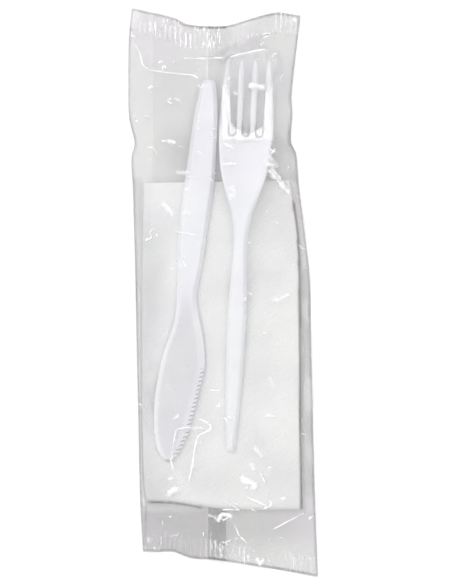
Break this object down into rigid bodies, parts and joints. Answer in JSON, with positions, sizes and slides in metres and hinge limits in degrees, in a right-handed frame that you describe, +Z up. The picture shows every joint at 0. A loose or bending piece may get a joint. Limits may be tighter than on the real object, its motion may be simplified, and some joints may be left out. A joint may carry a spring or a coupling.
{
  "type": "plastic cutlery pack",
  "caption": "Sealed clear-film pack with a plastic knife, a plastic fork and a folded paper napkin, for one meal.",
  "frame": {"origin": "centre of the pack's outline, on the surface that it lies on", "axes": "+Z up from the table through the front film, +Y towards the end seal by the fork's tines, +X to the right as seen from above"},
  "size_m": [0.0869, 0.26, 0.0109],
  "materials": {
    "film": "clear glossy film",
    "tissue": "matt embossed paper tissue",
    "knife_plastic": "glossy moulded polystyrene",
    "fork_plastic": "glossy moulded polystyrene"
  },
  "bodies": {
    "root": {"film_wrapper": "film", "napkin": "tissue", "knife": "knife_plastic", "fork": "fork_plastic"}
  },
  "joints": []
}
